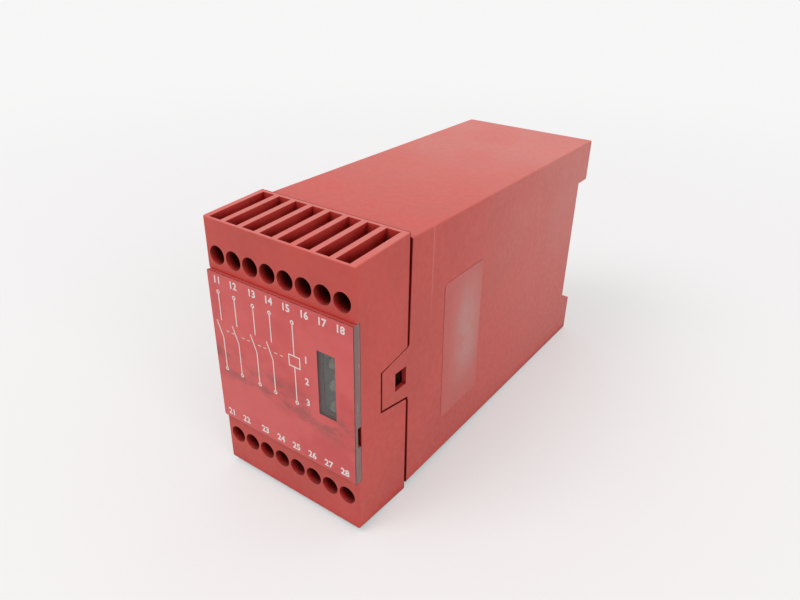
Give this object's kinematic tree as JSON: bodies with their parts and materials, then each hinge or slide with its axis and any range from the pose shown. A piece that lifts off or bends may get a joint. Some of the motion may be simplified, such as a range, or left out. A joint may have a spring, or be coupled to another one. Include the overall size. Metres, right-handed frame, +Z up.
{
  "type": "safety relay",
  "caption": "Red narrow rail-mounted safety relay: long box case, push-on terminal hood with wire slots and screw holes above and below, clear front plate with a window.",
  "frame": {"origin": "middle of the footprint, on the floor plane that the hood's lower rear edge touches", "axes": "+X across the width towards the side with the label and the window's end of the plate, +Y from the front plate to the rail side, +Z up"},
  "size_m": [0.0451, 0.122, 0.0732],
  "materials": {
    "red_hood": "fine matte texture",
    "red_case": "fine matte texture",
    "clear_plate": "clear polycarbonate, lightly scuffed",
    "printed_film": "satin printed film",
    "side_label": "satin film, bare",
    "rail_latch": "matte",
    "spring_steel": "bright",
    "terminal_block": "matte",
    "contact_bar": "tinned",
    "terminal_screw": "zinc plated",
    "clamp": "zinc plated",
    "board": "solder mask",
    "capacitor_sleeve": "shrink sleeve",
    "chip_resin": "moulded resin",
    "varistor_coat": "dipped coating",
    "relay_cover": "moulded cover",
    "header": "matte",
    "led_lens": "tinted lens"
  },
  "bodies": {
    "enclosure": {"front_hood": "red_hood", "rear_case": "red_case", "front_plate": "clear_plate", "label_film": "printed_film", "side_label": "side_label", "latch_springs": "spring_steel", "upper_terminal_block": "terminal_block", "upper_contact_bars": "contact_bar", "lower_terminal_block": "terminal_block", "lower_contact_bars": "contact_bar", "terminal_board": "board", "supply_board": "board", "relay_board": "board", "smoothing_capacitor": "capacitor_sleeve", "timing_capacitor": "capacitor_sleeve", "bridge_rectifier": "chip_resin", "varistor": "varistor_coat", "relay_1": "relay_cover", "relay_2": "relay_cover", "logic_chips": "chip_resin", "board_headers": "header", "status_leds": "led_lens", "led_spacers": "header"},
    "rail_latch": {"rail_latch": "rail_latch"},
    "upper_screw_1": {"upper_screw_1": "terminal_screw"},
    "upper_clamp_1": {"upper_clamp_1": "clamp"},
    "upper_screw_2": {"upper_screw_2": "terminal_screw"},
    "upper_clamp_2": {"upper_clamp_2": "clamp"},
    "upper_screw_3": {"upper_screw_3": "terminal_screw"},
    "upper_clamp_3": {"upper_clamp_3": "clamp"},
    "upper_screw_4": {"upper_screw_4": "terminal_screw"},
    "upper_clamp_4": {"upper_clamp_4": "clamp"},
    "upper_screw_5": {"upper_screw_5": "terminal_screw"},
    "upper_clamp_5": {"upper_clamp_5": "clamp"},
    "upper_screw_6": {"upper_screw_6": "terminal_screw"},
    "upper_clamp_6": {"upper_clamp_6": "clamp"},
    "upper_screw_7": {"upper_screw_7": "terminal_screw"},
    "upper_clamp_7": {"upper_clamp_7": "clamp"},
    "upper_screw_8": {"upper_screw_8": "terminal_screw"},
    "upper_clamp_8": {"upper_clamp_8": "clamp"},
    "lower_screw_1": {"lower_screw_1": "terminal_screw"},
    "lower_clamp_1": {"lower_clamp_1": "clamp"},
    "lower_screw_2": {"lower_screw_2": "terminal_screw"},
    "lower_clamp_2": {"lower_clamp_2": "clamp"},
    "lower_screw_3": {"lower_screw_3": "terminal_screw"},
    "lower_clamp_3": {"lower_clamp_3": "clamp"},
    "lower_screw_4": {"lower_screw_4": "terminal_screw"},
    "lower_clamp_4": {"lower_clamp_4": "clamp"},
    "lower_screw_5": {"lower_screw_5": "terminal_screw"},
    "lower_clamp_5": {"lower_clamp_5": "clamp"},
    "lower_screw_6": {"lower_screw_6": "terminal_screw"},
    "lower_clamp_6": {"lower_clamp_6": "clamp"},
    "lower_screw_7": {"lower_screw_7": "terminal_screw"},
    "lower_clamp_7": {"lower_clamp_7": "clamp"},
    "lower_screw_8": {"lower_screw_8": "terminal_screw"},
    "lower_clamp_8": {"lower_clamp_8": "clamp"}
  },
  "joints": [
    {"name": "upper_screw_1_turn", "type": "hinge", "parent": "enclosure", "child": "upper_screw_1", "pos_m": [-0.01883, -0.05003, 0.06295], "axis": [0, -1, 0], "range_deg": [0, 1920]},
    {"name": "upper_clamp_1_slide", "type": "slide", "parent": "enclosure", "child": "upper_clamp_1", "axis": [0, 1, 0], "range_m": [0, 0.0024]},
    {"name": "upper_screw_2_turn", "type": "hinge", "parent": "enclosure", "child": "upper_screw_2", "pos_m": [-0.01345, -0.05003, 0.06295], "axis": [0, -1, 0], "range_deg": [0, 1920]},
    {"name": "upper_clamp_2_slide", "type": "slide", "parent": "enclosure", "child": "upper_clamp_2", "axis": [0, 1, 0], "range_m": [0, 0.0024]},
    {"name": "upper_screw_3_turn", "type": "hinge", "parent": "enclosure", "child": "upper_screw_3", "pos_m": [-0.00807, -0.05003, 0.06295], "axis": [0, -1, 0], "range_deg": [0, 1920]},
    {"name": "upper_clamp_3_slide", "type": "slide", "parent": "enclosure", "child": "upper_clamp_3", "axis": [0, 1, 0], "range_m": [0, 0.0024]},
    {"name": "upper_screw_4_turn", "type": "hinge", "parent": "enclosure", "child": "upper_screw_4", "pos_m": [-0.00269, -0.05003, 0.06295], "axis": [0, -1, 0], "range_deg": [0, 1920]},
    {"name": "upper_clamp_4_slide", "type": "slide", "parent": "enclosure", "child": "upper_clamp_4", "axis": [0, 1, 0], "range_m": [0, 0.0024]},
    {"name": "upper_screw_5_turn", "type": "hinge", "parent": "enclosure", "child": "upper_screw_5", "pos_m": [0.00269, -0.05003, 0.06295], "axis": [0, -1, 0], "range_deg": [0, 1920]},
    {"name": "upper_clamp_5_slide", "type": "slide", "parent": "enclosure", "child": "upper_clamp_5", "axis": [0, 1, 0], "range_m": [0, 0.0024]},
    {"name": "upper_screw_6_turn", "type": "hinge", "parent": "enclosure", "child": "upper_screw_6", "pos_m": [0.00807, -0.05003, 0.06295], "axis": [0, -1, 0], "range_deg": [0, 1920]},
    {"name": "upper_clamp_6_slide", "type": "slide", "parent": "enclosure", "child": "upper_clamp_6", "axis": [0, 1, 0], "range_m": [0, 0.0024]},
    {"name": "upper_screw_7_turn", "type": "hinge", "parent": "enclosure", "child": "upper_screw_7", "pos_m": [0.01345, -0.05003, 0.06295], "axis": [0, -1, 0], "range_deg": [0, 1920]},
    {"name": "upper_clamp_7_slide", "type": "slide", "parent": "enclosure", "child": "upper_clamp_7", "axis": [0, 1, 0], "range_m": [0, 0.0024]},
    {"name": "upper_screw_8_turn", "type": "hinge", "parent": "enclosure", "child": "upper_screw_8", "pos_m": [0.01883, -0.05003, 0.06295], "axis": [0, -1, 0], "range_deg": [0, 1920]},
    {"name": "upper_clamp_8_slide", "type": "slide", "parent": "enclosure", "child": "upper_clamp_8", "axis": [0, 1, 0], "range_m": [0, 0.0024]},
    {"name": "lower_screw_1_turn", "type": "hinge", "parent": "enclosure", "child": "lower_screw_1", "pos_m": [-0.01883, -0.05003, 0.01025], "axis": [0, -1, 0], "range_deg": [0, 1920]},
    {"name": "lower_clamp_1_slide", "type": "slide", "parent": "enclosure", "child": "lower_clamp_1", "axis": [0, 1, 0], "range_m": [0, 0.0024]},
    {"name": "lower_screw_2_turn", "type": "hinge", "parent": "enclosure", "child": "lower_screw_2", "pos_m": [-0.01345, -0.05003, 0.01025], "axis": [0, -1, 0], "range_deg": [0, 1920]},
    {"name": "lower_clamp_2_slide", "type": "slide", "parent": "enclosure", "child": "lower_clamp_2", "axis": [0, 1, 0], "range_m": [0, 0.0024]},
    {"name": "lower_screw_3_turn", "type": "hinge", "parent": "enclosure", "child": "lower_screw_3", "pos_m": [-0.00807, -0.05003, 0.01025], "axis": [0, -1, 0], "range_deg": [0, 1920]},
    {"name": "lower_clamp_3_slide", "type": "slide", "parent": "enclosure", "child": "lower_clamp_3", "axis": [0, 1, 0], "range_m": [0, 0.0024]},
    {"name": "lower_screw_4_turn", "type": "hinge", "parent": "enclosure", "child": "lower_screw_4", "pos_m": [-0.00269, -0.05003, 0.01025], "axis": [0, -1, 0], "range_deg": [0, 1920]},
    {"name": "lower_clamp_4_slide", "type": "slide", "parent": "enclosure", "child": "lower_clamp_4", "axis": [0, 1, 0], "range_m": [0, 0.0024]},
    {"name": "lower_screw_5_turn", "type": "hinge", "parent": "enclosure", "child": "lower_screw_5", "pos_m": [0.00269, -0.05003, 0.01025], "axis": [0, -1, 0], "range_deg": [0, 1920]},
    {"name": "lower_clamp_5_slide", "type": "slide", "parent": "enclosure", "child": "lower_clamp_5", "axis": [0, 1, 0], "range_m": [0, 0.0024]},
    {"name": "lower_screw_6_turn", "type": "hinge", "parent": "enclosure", "child": "lower_screw_6", "pos_m": [0.00807, -0.05003, 0.01025], "axis": [0, -1, 0], "range_deg": [0, 1920]},
    {"name": "lower_clamp_6_slide", "type": "slide", "parent": "enclosure", "child": "lower_clamp_6", "axis": [0, 1, 0], "range_m": [0, 0.0024]},
    {"name": "lower_screw_7_turn", "type": "hinge", "parent": "enclosure", "child": "lower_screw_7", "pos_m": [0.01345, -0.05003, 0.01025], "axis": [0, -1, 0], "range_deg": [0, 1920]},
    {"name": "lower_clamp_7_slide", "type": "slide", "parent": "enclosure", "child": "lower_clamp_7", "axis": [0, 1, 0], "range_m": [0, 0.0024]},
    {"name": "lower_screw_8_turn", "type": "hinge", "parent": "enclosure", "child": "lower_screw_8", "pos_m": [0.01883, -0.05003, 0.01025], "axis": [0, -1, 0], "range_deg": [0, 1920]},
    {"name": "lower_clamp_8_slide", "type": "slide", "parent": "enclosure", "child": "lower_clamp_8", "axis": [0, 1, 0], "range_m": [0, 0.0024]},
    {"name": "rail_latch_slide", "type": "slide", "parent": "enclosure", "child": "rail_latch", "axis": [0, 0, -1], "range_m": [0, 0.002], "stiffness_N_per_m": 2000, "springref_m": -0.002, "deforming": ["latch_springs"]}
  ],
  "couplings": [
    {"joint": "upper_screw_1_turn", "follows": "upper_clamp_1_slide", "rad_per_m": 13963},
    {"joint": "upper_screw_2_turn", "follows": "upper_clamp_2_slide", "rad_per_m": 13963},
    {"joint": "upper_screw_3_turn", "follows": "upper_clamp_3_slide", "rad_per_m": 13963},
    {"joint": "upper_screw_4_turn", "follows": "upper_clamp_4_slide", "rad_per_m": 13963},
    {"joint": "upper_screw_5_turn", "follows": "upper_clamp_5_slide", "rad_per_m": 13963},
    {"joint": "upper_screw_6_turn", "follows": "upper_clamp_6_slide", "rad_per_m": 13963},
    {"joint": "upper_screw_7_turn", "follows": "upper_clamp_7_slide", "rad_per_m": 13963},
    {"joint": "upper_screw_8_turn", "follows": "upper_clamp_8_slide", "rad_per_m": 13963},
    {"joint": "lower_screw_1_turn", "follows": "lower_clamp_1_slide", "rad_per_m": 13963},
    {"joint": "lower_screw_2_turn", "follows": "lower_clamp_2_slide", "rad_per_m": 13963},
    {"joint": "lower_screw_3_turn", "follows": "lower_clamp_3_slide", "rad_per_m": 13963},
    {"joint": "lower_screw_4_turn", "follows": "lower_clamp_4_slide", "rad_per_m": 13963},
    {"joint": "lower_screw_5_turn", "follows": "lower_clamp_5_slide", "rad_per_m": 13963},
    {"joint": "lower_screw_6_turn", "follows": "lower_clamp_6_slide", "rad_per_m": 13963},
    {"joint": "lower_screw_7_turn", "follows": "lower_clamp_7_slide", "rad_per_m": 13963},
    {"joint": "lower_screw_8_turn", "follows": "lower_clamp_8_slide", "rad_per_m": 13963}
  ]
}
